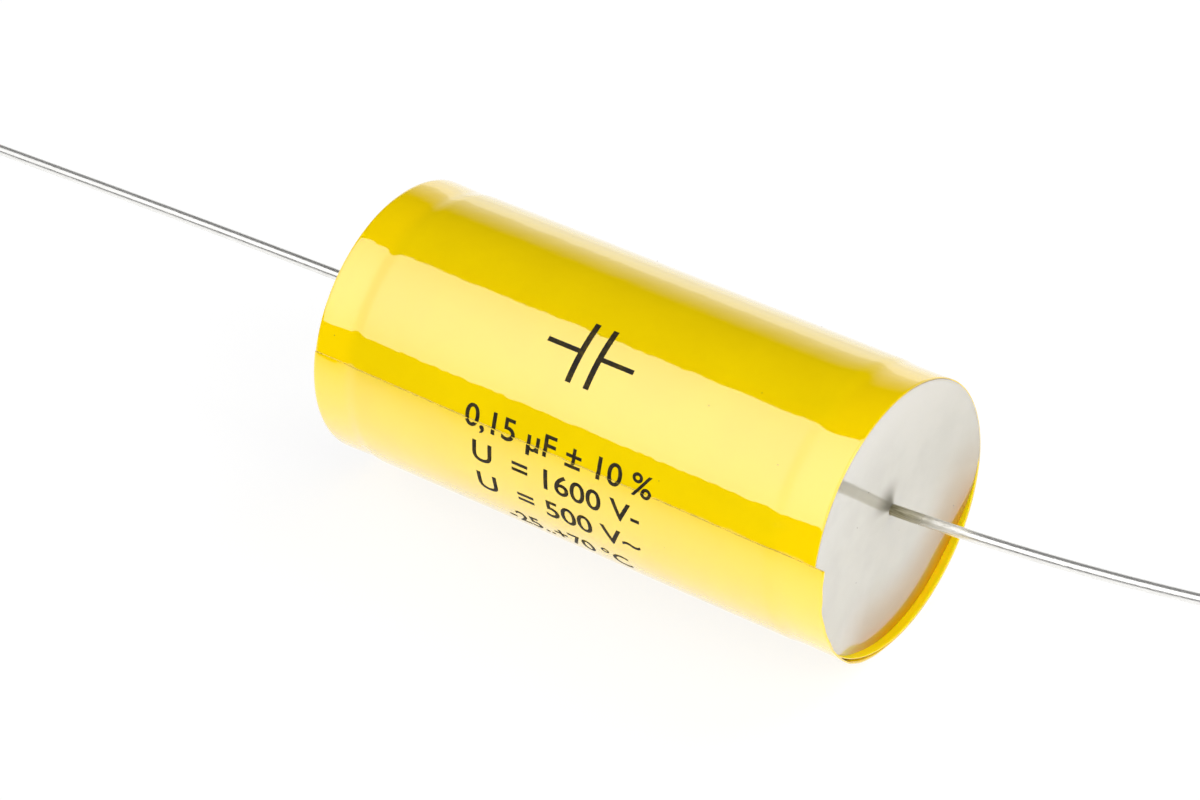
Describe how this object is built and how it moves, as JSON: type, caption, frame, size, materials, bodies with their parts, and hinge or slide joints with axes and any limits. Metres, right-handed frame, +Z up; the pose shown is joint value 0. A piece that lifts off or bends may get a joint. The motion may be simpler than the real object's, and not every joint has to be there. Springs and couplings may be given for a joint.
{
  "type": "polypropylene film capacitor",
  "caption": "Round axial film capacitor: a film roll in glossy yellow tape, cast resin ends and a tinned wire lead along the axis at each end.",
  "frame": {"origin": "middle of the body, on its axis", "axes": "+X along the body's axis towards the end where the tape's free edge stands past the rim, +Z up as it lies"},
  "size_m": [0.1497, 0.0251, 0.025],
  "materials": {
    "tape": "glossy yellow polyester tape",
    "resin": "glossy off-white cast resin",
    "tinned_wire": "bright tinned copper wire",
    "zinc_spray": "matt sprayed zinc",
    "film": "metallised film, wound tight",
    "core_plastic": "natural plastic tube"
  },
  "bodies": {
    "root": {"tape_wrap": "tape", "end_fill_left": "resin", "end_fill_right": "resin", "lead_left": "tinned_wire", "lead_right": "tinned_wire", "contact_left": "zinc_spray", "contact_right": "zinc_spray", "film_winding": "film", "winding_core": "core_plastic"}
  },
  "joints": []
}
